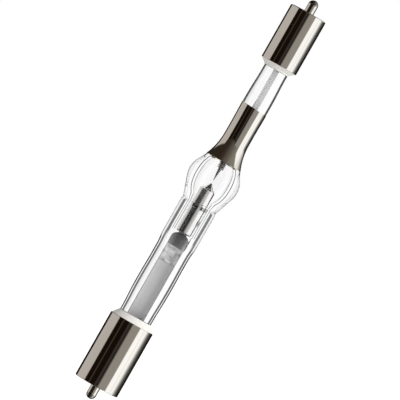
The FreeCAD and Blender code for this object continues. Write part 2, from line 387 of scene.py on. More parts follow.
@dataclass(frozen=True)
class QuartzSkin(FusedSilica):
    """The burner's outer face, with painted shade on its steep sides that stands in for the dark studio seen
    through them.

    From the foot up it looks as seal, stem, crease, bulb and neck, and changes over the four stretches
    of height, in millimetres.
    """

    # Each stretch's rims are painted shade in the glass's colour, for the dark studio seen through its sides.
    seal: PaintedRimShade = PaintedRimShade(((0.37, 0.53, 0.12), (0.63, 1.0, 0.04)))
    stem: PaintedRimShade = PaintedRimShade(((0.3, 0.5, 0.19), (0.77, 1.0, 0.5)))
    crease: PaintedRimShade = PaintedRimShade(((0.6, 1.0, 0.4),))
    bulb: PaintedRimShade = PaintedRimShade(((0.7, 1.0, 0.74),))
    neck: PaintedRimShade = PaintedRimShade(((0.45, 1.0, 0.1),))
    changes: tuple[Point, ...] = ((31.0, 32.8), (39.4, 39.9), (39.95, 40.3), (50.0, 56.0))
    least_level: float = 0.06
    striae: Grain = Grain((1.0, 1.0, 0.04), 1.6)
    striae_depth: float = 0.002

    def slant(self, sheet: NodeSheet) -> Plug:
        """Work out how far each spot turns sideways from the eye, however high the eye is.

        Args:
            sheet: The material's nodes.

        Returns:
            The output that runs from 0, facing the eye, to 1, edge on.
        """
        shares = []
        for upright in (False, True):
            # At the middle blend, Facing is 1 less the cosine of the angle to the eye.
            weight = sheet.add("LayerWeight")
            weight.inputs["Blend"].default_value = 0.5
            if upright:
                axis = sheet.add("CombineXYZ")
                axis.inputs["Z"].default_value = 1.0
                sheet.join(axis.outputs[0], weight.inputs["Normal"])
            shares.append(sheet.maths("SUBTRACT", 1.0, weight.outputs["Facing"]))
        met, steep = shares
        level = sheet.maths("SUBTRACT", 1.0, sheet.maths("MULTIPLY", steep, steep))
        across = sheet.maths("SQRT", sheet.maths("MAXIMUM", level, self.least_level))
        return sheet.maths("SUBTRACT", 1.0, sheet.maths("DIVIDE", met, across), clamp=True)

    def lay_out(self, sheet: NodeSheet) -> None:
        """Lay out clear glass with painted shade where the eye meets it at a slant, with faint drawn striae.

        Args:
            sheet: The material's nodes.
        """
        slant = self.slant(sheet)
        _, _, height = sheet.axes(Space.OWN)
        # The glass's colour carries the painted rim shade of each stretch.
        tint_and_painted_shade = sheet.ramp(slant, self.seal.stops())
        for (low, high), look in zip(self.changes, (self.stem, self.crease, self.bulb, self.neck)):
            share = sheet.share(height, low * MM, high * MM)
            tint_and_painted_shade = sheet.blend(share, tint_and_painted_shade, sheet.ramp(slant, look.stops()))
        self.glaze(sheet, tint_and_painted_shade, sheet.relief(sheet.grain(self.striae), self.striae_depth))


@dataclass(frozen=True)
class QuartzHollow(FusedSilica):
    """The burner's inner face, towards the gas."""

    waves: Grain = Grain((1.0, 1.0, 0.5), 0.5)
    wave_depth: float = 0.004

    def lay_out(self, sheet: NodeSheet) -> None:
        """Clear glass with the faintest waves of the blown wall."""
        self.glaze(sheet, (*WHITE, 1.0), sheet.relief(sheet.grain(self.waves), self.wave_depth))


@dataclass(frozen=True)
class TurnedMetal(Finish):
    """A plated or ground metal with fine lines left by turning."""

    colour: Colour = (0.66, 0.62, 0.56)
    shade: float = 0.93
    roughness: float = 0.07
    cloud: float = 0.04
    clouds: Grain = Grain((1.0, 1.0, 0.35), 0.45)
    line_stretch: Triple = (0.05, 0.05, 1.0)
    line_pitch: float = 6.0
    line_depth: float = 0.0004

    def lay_out(self, sheet: NodeSheet) -> None:
        """Lay out metal with faint rings and a cloudy change of gloss and tone.

        Args:
            sheet: The material's nodes.
        """
        rings = sheet.grain(Grain(self.line_stretch, self.line_pitch))
        clouds = sheet.grain(self.clouds)
        darker = tuple(c * self.shade for c in self.colour)
        roughness = sheet.maths("MULTIPLY_ADD", clouds, self.cloud, self.roughness - self.cloud / 2)
        sheet.surface({
            Socket.COLOUR: sheet.blend(clouds, self.colour, darker),
            Socket.METAL: 1.0,
            Socket.ROUGHNESS: roughness,
            Socket.NORMAL: sheet.relief(rings, self.line_depth),
        })


@dataclass(frozen=True)
class Putty(Finish):
    """The bases' ceramic cement."""

    colour: Colour = (0.82, 0.805, 0.77)
    stain: Colour = (0.66, 0.625, 0.57)
    stain_share: float = 0.6
    patches: Grain = Grain(EVEN, 0.55)
    grit: Grain = Grain(EVEN, 5.0, 5.0)
    grit_depth: float = 0.03
    roughness: float = 0.75
    gloss: float = 0.3

    def lay_out(self, sheet: NodeSheet) -> None:
        """Lay out matt off-white putty with fine grit and faint stains.

        Args:
            sheet: The material's nodes.
        """
        stained = sheet.maths("MULTIPLY", sheet.grain(self.patches), self.stain_share)
        sheet.surface({
            Socket.COLOUR: sheet.blend(stained, self.colour, self.stain),
            Socket.ROUGHNESS: self.roughness,
            Socket.SPECULAR: self.gloss,
            Socket.NORMAL: sheet.relief(sheet.grain(self.grit), self.grit_depth),
        })


@dataclass(frozen=True)
class SealFoil(Finish):
    """Etched molybdenum foil, with the darker stretch where the electrode is welded on, whose dark middle is
    painted reflection that carries on the anode's dark band.

    Tones are stops across the foil, from 0 at one side to 1 at the other, each with its grey; the plain tones
    are painted shading, a dark edge and a bright painted stripe near one side that fade darker towards the
    other. The weld starts at one height, and between it and the fold the foil is mottled, with a line of
    painted shade across it at the fold.
    """

    half_width: float = 1.25
    # Painted shading across the foil: a dark edge, a bright painted highlight near that side, and darker
    # towards the other side.
    plain: Tones = (
        (0.0, 0.5), (0.03, 0.5), (0.06, 0.95), (0.25, 0.82),
        (0.5, 0.72), (0.7, 0.54), (0.9, 0.5), (1.0, 0.36),
    )
    # Weld tones: darker where welded, with a dark middle that is painted reflection of the anode's dark band;
    # the rise makes them brighter at the weld's foot and darker towards its top.
    weld: Tones = ((0.0, 0.38), (0.2, 0.22), (0.36, 0.12), (0.62, 0.13), (0.8, 0.2), (0.9, 0.45), (1.0, 0.45))
    blueness: float = 1.01
    weld_from: float = 30.73
    weld_top: float = 33.6
    weld_shade: Point = (1.2, 0.6)
    mottle: Grain = Grain((1.0, 1.0, 0.8), 1.3)
    mottle_edges: Point = (0.35, 0.65)
    mottle_mean: float = 0.6
    mottle_gain: float = 0.75
    fold_height: float = 27.2
    fold_depth: float = 0.18
    # How dark the line of painted shade at the fold is.
    fold_painted_shade: float = 0.3
    metal: float = 0.2
    roughness: float = 0.42

    def across(self, sheet: NodeSheet, share: Plug, tones: Tones) -> Plug:
        """Look up the grey across the foil, with its painted shading."""
        return sheet.ramp(share, [(place, (tone, tone, tone * self.blueness)) for place, tone in tones])

    def lay_out(self, sheet: NodeSheet) -> None:
        """Lay out satin foil with painted shading across it, mottled below the weld with a line of painted
        shade at the fold, and dark at the weld with painted reflection in its middle.

        Args:
            sheet: The material's nodes.
        """
        across, _, height = sheet.axes(Space.OWN)
        share = sheet.maths("MULTIPLY_ADD", across, 0.5 / (self.half_width * MM), 0.5)
        level = sheet.maths("DIVIDE", height, MM)
        rise = sheet.share(level, self.weld_from, self.weld_top, self.weld_shade)
        # The weld's tones, darker where welded and with painted reflection in the middle.
        weld_tones_with_painted_reflection = sheet.scaled(self.across(sheet, share, self.weld), rise)
        low, high = self.mottle_edges
        blotches = sheet.ramp(sheet.grain(self.mottle), [(low, grey(0.0)), (high, WHITE)])
        above_fold = sheet.maths("GREATER_THAN", level, self.fold_height)
        mottled = sheet.maths("MULTIPLY", above_fold, self.mottle_gain)
        spots = sheet.maths("MULTIPLY", sheet.maths("SUBTRACT", blotches, self.mottle_mean), mottled)
        # A line of painted shade across the foil at the fold height.
        off_fold = sheet.maths("ABSOLUTE", sheet.maths("SUBTRACT", level, self.fold_height))
        at_fold = sheet.maths("LESS_THAN", off_fold, self.fold_depth / 2)
        fold = sheet.maths("MULTIPLY", at_fold, self.fold_painted_shade)
        gain = sheet.maths("SUBTRACT", sheet.maths("SUBTRACT", 1.0, spots), fold)
        # Below the weld the foil takes the painted shading across it, mottled and with the fold's painted
        # shade line.
        below = sheet.scaled(self.across(sheet, share, self.plain), gain)
        at_weld = sheet.maths("GREATER_THAN", level, self.weld_from)
        sheet.surface({
            Socket.COLOUR: sheet.blend(at_weld, below, weld_tones_with_painted_reflection),
            Socket.METAL: self.metal,
            Socket.ROUGHNESS: self.roughness,
        })


@dataclass(frozen=True)
class LiquidMetal(Finish):
    """Mercury, as it lies in a cold lamp."""

    # Both greys are far darker than bright mercury: painted shade for the dark the drops mirror, over the
    # real haze of fine drops.
    colour: Colour = (0.38, 0.38, 0.385)
    shade: Colour = (0.05, 0.05, 0.052)
    drops: Grain = Grain(EVEN, 2.2, 4.0)
    drop_edges: Point = (0.4, 0.62)
    drop_height: float = 0.08
    roughness: float = 0.3

    def lay_out(self, sheet: NodeSheet) -> None:
        """Lay out fine drops that ran together, between mirror and haze, in greys darkened as painted shade.

        Args:
            sheet: The material's nodes.
        """
        drops = sheet.grain(self.drops)
        low, high = self.drop_edges
        sheet.surface({
            Socket.COLOUR: sheet.ramp(drops, [(low, self.shade), (high, self.colour)]),
            Socket.METAL: 1.0,
            Socket.ROUGHNESS: self.roughness,
            Socket.NORMAL: sheet.relief(drops, self.drop_height),
        })


QUARTZ_SKIN = QuartzSkin("quartz_skin", "quartz")
QUARTZ_HOLLOW = QuartzHollow("quartz_hollow", "quartz")
NICKEL = TurnedMetal("bright_nickel", "nickel_plate")
COAT_METAL = TurnedMetal("fired_metal_coat", "metal_coat", roughness=0.08, line_depth=0.0002)
TUNGSTEN = TurnedMetal(
    "ground_tungsten", "tungsten", colour=(0.74, 0.73, 0.72), roughness=0.04, cloud=0.02, line_pitch=9.0
)
CATHODE_METAL = TurnedMetal(
    "sintered_tungsten", "tungsten", colour=(0.2, 0.195, 0.19), roughness=0.22, line_pitch=9.0
)
COIL_WIRE = TurnedMetal("coil_wire", "tungsten", colour=(0.24, 0.235, 0.23), roughness=0.2)
LEAD_METAL = TurnedMetal("drawn_molybdenum", "molybdenum", colour=(0.55, 0.55, 0.56), roughness=0.25)
# Its colour is darkened as painted shade, for the dark that the pins' domed ends mirror.
SOLDER_PAINTED_DARKER = TurnedMetal("flowed_solder", "solder", colour=(0.3, 0.28, 0.25), roughness=0.16)
CEMENT = Putty("ceramic_putty", "cement")
FOIL = SealFoil("seal_foil", "molybdenum")
# A height above the whole lamp, for a foil that shows neither weld nor fold.
ABOVE_LAMP = 200.0
# A copy of the foil painted lighter all over, as painted light on the edge-on cathode foil.
CATHODE_FOIL_PAINTED_LIGHTER = SealFoil(
    "cathode_seal_foil", "molybdenum", plain=((0.0, 0.86),), weld_from=ABOVE_LAMP, fold_height=ABOVE_LAMP
)
MERCURY = LiquidMetal("condensed_mercury", "mercury")


def steps(first: float, last: float, count: int) -> list[float]:
    """Evenly spaced numbers from first to last, both included."""
    return [first + (last - first) * i / count for i in range(count + 1)]


def between(start: Point, end: Point, share: float) -> Point:
    """The point at a share of the way from one point to another."""
    return start[0] + (end[0] - start[0]) * share, start[1] + (end[1] - start[1]) * share


def spoke(degrees: float, reach: float) -> Point:
    """The point that a spoke of the given angle and length ends in."""
    return reach * math.cos(math.radians(degrees)), reach * math.sin(math.radians(degrees))


def straight(start: Point, end: Point, count: int = 1) -> list[Point]:
    """Points along a straight run of an outline.

    Args:
        start: The run's first (radius, height).
        end: The run's last (radius, height).
        count: How many equal stretches it has.

    Returns:
        The points, both ends included.
    """
    return [between(start, end, share) for share in steps(0, 1, count)]


def held(start: Point, end: Point, count: int = 1) -> list[Point]:
    """A straight run with a point close to each end, so that shading stays flat between.

    Args:
        start: The run's first (radius, height).
        end: The run's last (radius, height).
        count: How many stretches lie between the extra points.

    Returns:
        The points, both ends included.
    """
    first, last = straight(start, end)
    share = min(MOST_MARGIN, MARGIN / math.dist(start, end))
    return [first, *straight(between(start, end, share), between(end, start, share), count), last]


def bow(centre: Point, radius: float, first: float, last: float, count: int) -> list[Point]:
    """Points along an arc of an outline.

    Args:
        centre: The arc's centre as (radius, height).
        radius: The arc's own radius.
        first: The first angle in degrees, 0 pointing away from the axis and 90 up.
        last: The last angle.
        count: How many equal stretches it has.

    Returns:
        The points, both ends included.
    """
    spokes = [spoke(angle, radius) for angle in steps(first, last, count)]
    return [(centre[0] + out, centre[1] + up) for out, up in spokes]


def ease(start: Point, end: Point, count: int) -> list[Point]:
    """A smooth curve between two outline points that runs along the axis at both ends.

    Args:
        start: The curve's first (radius, height).
        end: The curve's last (radius, height).
        count: How many stretches it has.

    Returns:
        The points, both ends included.
    """
    middle = (start[1] + end[1]) / 2
    poles = (start, (start[0], middle), (end[0], middle), end)
    curve = []
    for t in steps(0, 1, count):
        weights = ((1 - t) ** 3, 3 * t * (1 - t) ** 2, 3 * t * t * (1 - t), t ** 3)
        radius, height = (sum(w * pole[i] for w, pole in zip(weights, poles)) for i in (0, 1))
        curve.append((radius, height))
    return curve


def chained(*runs: list[Point]) -> list[Point]:
    """One outline from several runs.

    Args:
        *runs: The runs. Where one starts on the end of the last, the two ends are one point.

    Returns:
        The outline's points.
    """
    outline = list(runs[0])
    for run in runs[1:]:
        outline += run[1:] if math.dist(run[0], outline[-1]) < TOUCH else run
    return outline


@dataclass
class Turning:
    """One turned surface: an outline swept round the lamp's axis."""

    outline: list[Point]
    around: int
    slot: int = 0
    inward: bool = False
    closed: bool = False
    warp: Warp | None = None

    def mesh_data(self, first: int) -> Shape:
        """Work out the surface's vertices and faces.

        Args:
            first: The index that its first vertex gets.

        Returns:
            The vertices, in metres, and the faces.
        """
        points: list[Vector] = []
        rows: list[list[int]] = []
        for radius, height in self.outline:
            count = self.around if radius > TOUCH else 1
            row = []
            for step in range(count):
                turn = 2 * math.pi * step / self.around
                r, z = self.warp(radius, height, turn) if self.warp and count > 1 else (radius, height)
                row.append(first + len(points))
                points.append(Vector((r * math.sin(turn), -r * math.cos(turn), z)) * MM)
            rows.append(row)
        faces: list[tuple[int, ...]] = []
        pairs = list(zip(rows, rows[1:]))
        if self.closed:
            pairs.append((rows[-1], rows[0]))
        for low, high in pairs:
            for step in range(self.around):
                after = (step + 1) % self.around
                corners = ((low, step), (low, after), (high, after), (high, step))
                face = tuple(dict.fromkeys(row[place % len(row)] for row, place in corners))
                if len(face) > 2:
                    faces.append(face[::-1] if self.inward else face)
        return points, faces


def add_mesh(
    name: str,
    points: list[Vector],
    faces: list[tuple[int, ...]],
    finishes: list[Finish],
    slots: list[int] | None = None,
    crease: float = CREASE,
) -> Piece:
    """Make a piece of the lamp from vertices and faces, and dress it.

    Args:
        name: The piece's name.
        points: Its vertices, in metres.
        faces: Its faces.
        finishes: Its finishes, in the order of the slots.
        slots: Which finish each face has; the first one if left out.
        crease: The angle in degrees past which an edge stays sharp.

    Returns:
        The piece, riding on the lamp's one body.
    """
    mesh = bpy.data.meshes.new(name)
    mesh.from_pydata([tuple(p) for p in points], [], faces)
    for finish in finishes:
        mesh.materials.append(finish.material())
    if slots:
        mesh.polygons.foreach_set("material_index", slots)
    mesh.polygons.foreach_set("use_smooth", [True] * len(mesh.polygons))
    mesh.set_sharp_from_angle(angle=math.radians(crease))
    mesh.update()
    piece = bpy.data.objects.new(name, mesh)
    bpy.context.scene.collection.objects.link(piece)
    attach(piece, "root")
    return piece


def turned_piece(name: str, turnings: list[Turning], finishes: list[Finish], crease: float = CREASE) -> Piece:
    """Make a piece from one or more turned surfaces.

    Args:
        name: The piece's name.
        turnings: Its surfaces.
        finishes: Its finishes, which the surfaces name by slot.
        crease: The angle in degrees past which an edge stays sharp.

    Returns:
        The piece.
    """
    points: list[Vector] = []
    faces: list[tuple[int, ...]] = []
    slots: list[int] = []
    for turning in turnings:
        more, joined = turning.mesh_data(len(points))
        points += more
        faces += joined
        slots += [turning.slot] * len(joined)
    return add_mesh(name, points, faces, finishes, slots, crease)


@cache
def top_of(node: str) -> float:
    """The height of a node's upper end, in millimetres."""
    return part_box(node)[1].z / MM


@cache
def foot_of(node: str) -> float:
    """The height of a node's lower end, in millimetres."""
    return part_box(node)[0].z / MM


@dataclass
class Burner:
    """The quartz burner and the metal coat on its cathode neck, in millimetres and degrees."""

    light_centre: float = 45.0
    bulb_offset: float = 0.25
    crown_offset: float = 0.45
    cone_angle: float = 19.8
    neck_radius: float = 2.62
    neck_blend: float = 12.0
    neck_straight: float = 1.2
    cathode_stem_radius: float = 2.67
    anode_end_radius: float = 3.38
    cathode_end_radius: float = 2.5
    end_bevel: float = 0.25
    collar_tops: tuple[float, float] = (15.2, 69.5)
    hollow_stem_radius: float = 3.7
    crease_depth: float = 0.13
    crease_length: float = 0.36
    seal_radius: float = 3.56
    waist_radius: float = 3.48
    waist: tuple[float, float] = (32.7, 29.3)
    bore_radius: float = 1.88
    bore_foot: float = 33.6
    wall: float = 2.2
    cavity_height: float = 10.9
    cavity_foot_round: float = 3.0
    throat_radius: float = 0.86
    throat_top: float = 50.7
    coat_thickness: float = 0.06
    coat_air: float = 0.005
    sharp_edge: float = 20.0
    around: int = 240
    coat_around: int = 192
    unevenness: float = 0.006
    waves_up: float = 0.22
    edge_tilt: float = 0.22
    edge_wobble: Point = (0.05, 0.04)
    edge_waves: Triple = (2.0, 2.0, 9.0)
    edge_reach: int = 6
    coat_margin: float = 0.1
    bulb_radius: float = field(init=False)
    centre: float = field(init=False)
    crown: float = field(init=False)

    def __post_init__(self) -> None:
        """Take the bulb's size from the frame."""
        self.bulb_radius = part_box("quartz_burner")[1].x / MM
        self.centre = self.light_centre + self.bulb_offset
        self.crown = self.bulb_radius - self.crown_offset

    def crease_point(self) -> Point:
        """Find where the bulb's cone meets the anode stem.

        Returns:
            The place as (radius, height).
        """
        start = bow((self.crown_offset, self.centre), self.crown, -self.cone_angle, 0, 1)[0]
        radius = self.hollow_stem_radius - self.crease_depth
        return radius, start[1] - (start[0] - radius) / math.tan(math.radians(self.cone_angle))

    def outline(self) -> list[Point]:
        """Draw the burner's outer outline.

        Returns:
            Its points, from the anode end to the cathode end.
        """
        foot, head = foot_of("quartz_burner"), top_of("quartz_burner")
        anode_line = (self.anode_end_radius, self.collar_tops[0])
        cathode_line = (self.cathode_end_radius, self.collar_tops[1])
        waist_top = (self.hollow_stem_radius, self.waist[0])
        waist_foot = (self.waist_radius, self.waist[1])
        seal = (self.seal_radius, (waist_foot[1] + anode_line[1]) / 2)
        crease = self.crease_point()
        lip = (self.hollow_stem_radius, crease[1] - self.crease_length)
        blend_axis = self.neck_radius + self.neck_blend
        across = blend_axis - self.crown_offset
        blend_height = self.centre + math.sqrt((self.crown + self.neck_blend) ** 2 - across ** 2)
        meet = math.degrees(math.atan2(blend_height - self.centre, across))
        crown = bow((self.crown_offset, self.centre), self.crown, -self.cone_angle, meet, 72)
        flare = bow((blend_axis, blend_height), self.neck_blend, 180 + meet, 180, 36)
        neck_foot = (self.neck_radius, blend_height)
        neck_end = (self.neck_radius, blend_height + self.neck_straight)
        stem = (self.cathode_stem_radius, (neck_end[1] + cathode_line[1]) / 2)
        bevel = self.end_bevel
        return chained(
            [(0, foot), (self.anode_end_radius - bevel, foot)],
            straight((self.anode_end_radius, foot + bevel), anode_line, 4),
            ease(anode_line, seal, 20),
            ease(seal, waist_foot, 24),
            ease(waist_foot, waist_top, 20),
            straight(waist_top, lip, 24),
            straight(lip, crease, 4),
            straight(crease, crown[0], 16),
            crown,
            flare,
            straight(neck_foot, neck_end, 4),
            ease(neck_end, stem, 20),
            ease(stem, cathode_line, 20),
            straight(cathode_line, (self.cathode_end_radius, head - bevel), 4),
            [(self.cathode_end_radius - bevel, head), (0, head)],
        )

    def cavity_wall(self, angle: float) -> Point:
        """The (radius, height) on the cavity's oval wall at an angle in degrees above its equator."""
        turn = math.radians(angle)
        wide, tall = self.bulb_radius - self.wall, self.cavity_height / 2
        return wide * math.cos(turn), self.centre + tall * math.sin(turn)

    def cavity_foot(self) -> tuple[Point, float, float]:
        """Find the round that joins the anode's bore to the oval cavity.

        Returns:
            The centre of its arc, the angle on the oval where it ends and the arc's own last angle, both
            in degrees.
        """
        wide, tall = self.bulb_radius - self.wall, self.cavity_height / 2
        round_radius = self.cavity_foot_round
        centre_radius = self.bore_radius + round_radius
        low, high = -90.0, 0.0
        for _ in range(40):
            angle = (low + high) / 2
            turn = math.radians(angle)
            slope = math.atan2(math.sin(turn) / tall, math.cos(turn) / wide)
            spot = self.cavity_wall(angle)
            reach = spot[0] + round_radius * math.cos(slope)
            low, high = (low, angle) if reach > centre_radius else (angle, high)
        centre = (centre_radius, spot[1] + round_radius * math.sin(slope))
        return centre, angle, 180 + math.degrees(slope)

    def hollow(self) -> list[Point]:
        """Draw the outline of the gas space.

        Returns:
            Its points, from the bore's foot to the throat's end.
        """
        centre, first, turned_to = self.cavity_foot()
        foot_round = bow(centre, self.cavity_foot_round, 180, turned_to, 16)
        last = math.degrees(math.acos(self.throat_radius / (self.bulb_radius - self.wall)))
        oval = [self.cavity_wall(angle) for angle in steps(first, last, 96)]
        return chained(
            straight((0, self.bore_foot), (self.bore_radius, self.bore_foot), 2),
            straight((self.bore_radius, self.bore_foot), foot_round[0], 16),
            foot_round,
            oval,
            straight(oval[-1], (self.throat_radius, self.throat_top), 2),
            [(0, self.throat_top)],
        )

    def wander(self, radius: float, height: float, turn: float) -> Point:
        """Give hand-worked glass its slight unevenness.

        Args:
            radius: The true radius, in millimetres.
            height: The height, in millimetres.
            turn: The angle round the axis, in radians.

        Returns:
            The radius and height to use.
        """
        spot = Vector((math.sin(turn), math.cos(turn), height * self.waves_up))
        return radius * (1 - self.unevenness * (0.5 + noise.noise(spot))), height

    def build_quartz(self) -> Piece:
        """Make the quartz burner as one closed glass with its gas space.

        Returns:
            The piece.
        """
        skin = Turning(self.outline(), self.around, 0, warp=self.wander)
        gas = Turning(self.hollow(), self.around, 1, inward=True)
        piece = turned_piece("quartz", [skin, gas], [QUARTZ_SKIN, QUARTZ_HOLLOW], self.sharp_edge)
        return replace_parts(piece, "quartz_burner")

    def coat_edge(self, radius: float, height: float, turn: float) -> Point:
        """Lay the coat on the uneven glass, and let its two edges run a little out of true.

        Args:
            radius: The true radius, in millimetres.
            height: The height, in millimetres.
            turn: The angle round the axis, in radians.

        Returns:
            The radius and height to use.
        """
        foot, head = foot_of("reflector_coat"), top_of("reflector_coat")
        share = (height - foot) / (head - foot)
        across, along, layer = self.edge_waves
        wobble = noise.noise(Vector((math.sin(turn) * across, math.cos(turn) * along, layer)))
        low = self.edge_wobble[0] * wobble
        high = self.edge_wobble[1] * wobble - self.edge_tilt * math.sin(turn)
        uneven, _ = self.wander(radius, height, turn)
        return uneven, height + low * (1 - share) ** self.edge_reach + high * share ** self.edge_reach

    def build_coat(self) -> Piece:
        """Make the thin metal coat that follows the neck.

        Returns:
            The piece.
        """
        foot, head = foot_of("reflector_coat"), top_of("reflector_coat")
        whole = self.outline()
        body = [p for p in whole if foot + self.coat_margin < p[1] < head - self.coat_margin]
        ends = []
        for level in (foot, head):
            above = next(i for i, p in enumerate(whole) if p[1] > level)
            low, high = whole[above - 1], whole[above]
            radius, _ = between(low, high, (level - low[1]) / (high[1] - low[1]))
            ends.append((radius, level))
        run = [ends[0], *body, ends[1]]
        outer = [(r + self.coat_thickness, z) for r, z in run]
        inner = [(r + self.coat_air, z) for r, z in reversed(run)]
        film = Turning(outer + inner, self.coat_around, closed=True, warp=self.coat_edge)
        piece = turned_piece("metal_coat", [film], [COAT_METAL])
        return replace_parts(piece, "reflector_coat")

    def build(self) -> list[Piece]:
        """Make the burner's pieces."""
        return [self.build_quartz(), self.build_coat()]


@dataclass
class Base:
    """One plated base with its pin, cement and solder, in millimetres. Its outlines stand pin down."""

    side: Side
    stem_radius: float
    collar_height: float
    wall: float = 0.8
    floor: float = 2.0
    edge: float = 0.18
    rim: float = 0.08
    pin_radius: float = 1.0
    pin_bore: float = 0.55
    pin_root: float = 0.06
    rim_inset: float = 0.2
    lip: float = 0.1
    lip_slope: float = 0.3
    lip_sag: float = 0.04
    cement_depth: float = 2.0
    lumps: float = 0.006
    lump_pitch: Point = (2.5, 0.9)
    lump_start: Point = (0.05, 0.02)
    shell_around: int = 224
    cement_around: int = 160
    solder_around: int = 96

    def __post_init__(self) -> None:
        """Take the base's size from the frame. The pin stands out as far at both ends of the lamp."""
        low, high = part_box(f"{self.side.value}_base")
        self.radius = high.x / MM
        self.pin_length = -foot_of("anode_base")
        if self.side is Side.ANODE:
            self.plane = 0.0
            self.length = high.z / MM
        else:
            self.plane = high.z / MM - self.pin_length
            self.length = self.plane - low.z / MM

    def placed(self, outline: list[Point]) -> list[Point]:
        """Turn an outline so that it fits this end of the lamp.

        Args:
            outline: The outline, pin down.

        Returns:
            The outline in its place.
        """
        if self.side is Side.ANODE:
            return outline
        return [(r, self.plane - z) for r, z in reversed(outline)]

    def turned(self, name: str, node: str, outline: list[Point], finish: Finish, **sweep: object) -> Piece:
        """Turn one piece of the base in place of its node.

        Args:
            name: The piece's name, after the side.
            node: The node's name, after the side.
            outline: Its outline, pin down.
            finish: Its finish.
            **sweep: How the outline is swept, as Turning's fields.

        Returns:
            The piece.
        """
        turning = Turning(self.placed(outline), **sweep)
        piece = turned_piece(f"{self.side.value}_{name}", [turning], [finish])
        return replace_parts(piece, f"{self.side.value}_{node}")

    def build_shell(self) -> Piece:
        """Make the turned cup with its hollow contact pin.

        Returns:
            The piece.
        """
        radius, edge, rim, root = self.radius, self.edge, self.rim, self.pin_root
        pin, bore, tip = self.pin_radius, self.pin_bore, -self.pin_length
        inside = radius - self.wall
        outline = chained(
            held((bore, tip), (pin, tip)),
            held((pin, tip), (pin, -root), 4),
            bow((pin + root, -root), root, 180, 90, 4),
            held((pin + root, 0), (radius - edge, 0), 4),
            bow((radius - edge, edge), edge, -90, 0, 8),
            held((radius, edge), (radius, self.length - rim), 12),
            bow((radius - rim, self.length - rim), rim, 0, 90, 5),
            held((radius - rim, self.length), (inside, self.length)),
            held((inside, self.length), (inside, self.floor)),
            held((inside, self.floor), (bore, self.floor)),
            held((bore, self.floor), (bore, tip)),
        )[:-1]
        return self.turned("base_shell", "base", outline, NICKEL, around=self.shell_around, closed=True)

    def build_cement(self) -> Piece:
        """Make the cement with its coned collar.

        Returns:
            The piece.
        """
        top = self.length + self.collar_height
        inside = self.radius - self.wall
        stem = self.stem_radius
        foot = (self.radius - self.rim_inset, self.length)
        slope = (stem + self.lip_slope, top - self.lip_slope)
        lip = (stem + self.lip, top)
        hollow = tuple((a + b) / 2 - self.lip_sag for a, b in zip(slope, lip))
        start = (stem, self.floor + self.cement_depth)
        outline = chained(
            held(start, (stem, self.floor)),
            held((stem, self.floor), (inside, self.floor)),
            held((inside, self.floor), (inside, self.length)),
            held((inside, self.length), foot),
            straight(foot, slope, 12),
            straight(slope, hollow, 2),
            straight(hollow, lip, 2),
            straight((stem, top), start, 4),
        )[:-1]
        return self.turned(
            "cement", "base_cement", outline, CEMENT, around=self.cement_around, closed=True, warp=self.rough
        )

    def rough(self, radius: float, height: float, turn: float) -> Point:
        """Give the hand-wiped collar a slightly uneven surface.

        Args:
            radius: The true radius, in millimetres.
            height: The height, in millimetres.
            turn: The angle round the axis, in radians.

        Returns:
            The radius and height to use.
        """
        above = height - self.length if self.side is Side.ANODE else self.plane - self.length - height
        if above < self.lump_start[0] or radius < self.stem_radius + self.lump_start[1]:
            return radius, height
        across, up = self.lump_pitch
        spot = Vector((math.sin(turn) * across, math.cos(turn) * across, height * up))
        return radius * (1 + self.lumps * noise.noise(spot)), height

    def build_solder(self) -> Piece:
        """Make the solder bead that closes the pin.

        Returns:
            The piece.
        """
        tip = -self.pin_length
        outline = [*bow((0, tip), self.pin_radius, -90, 0, 24), (0, tip)]
        return self.turned("pin_tip", "pin_solder", outline, SOLDER_PAINTED_DARKER, around=self.solder_around)

    def build(self) -> list[Piece]:
        """Make the base's pieces."""
        return [self.build_shell(), self.build_cement(), self.build_solder()]


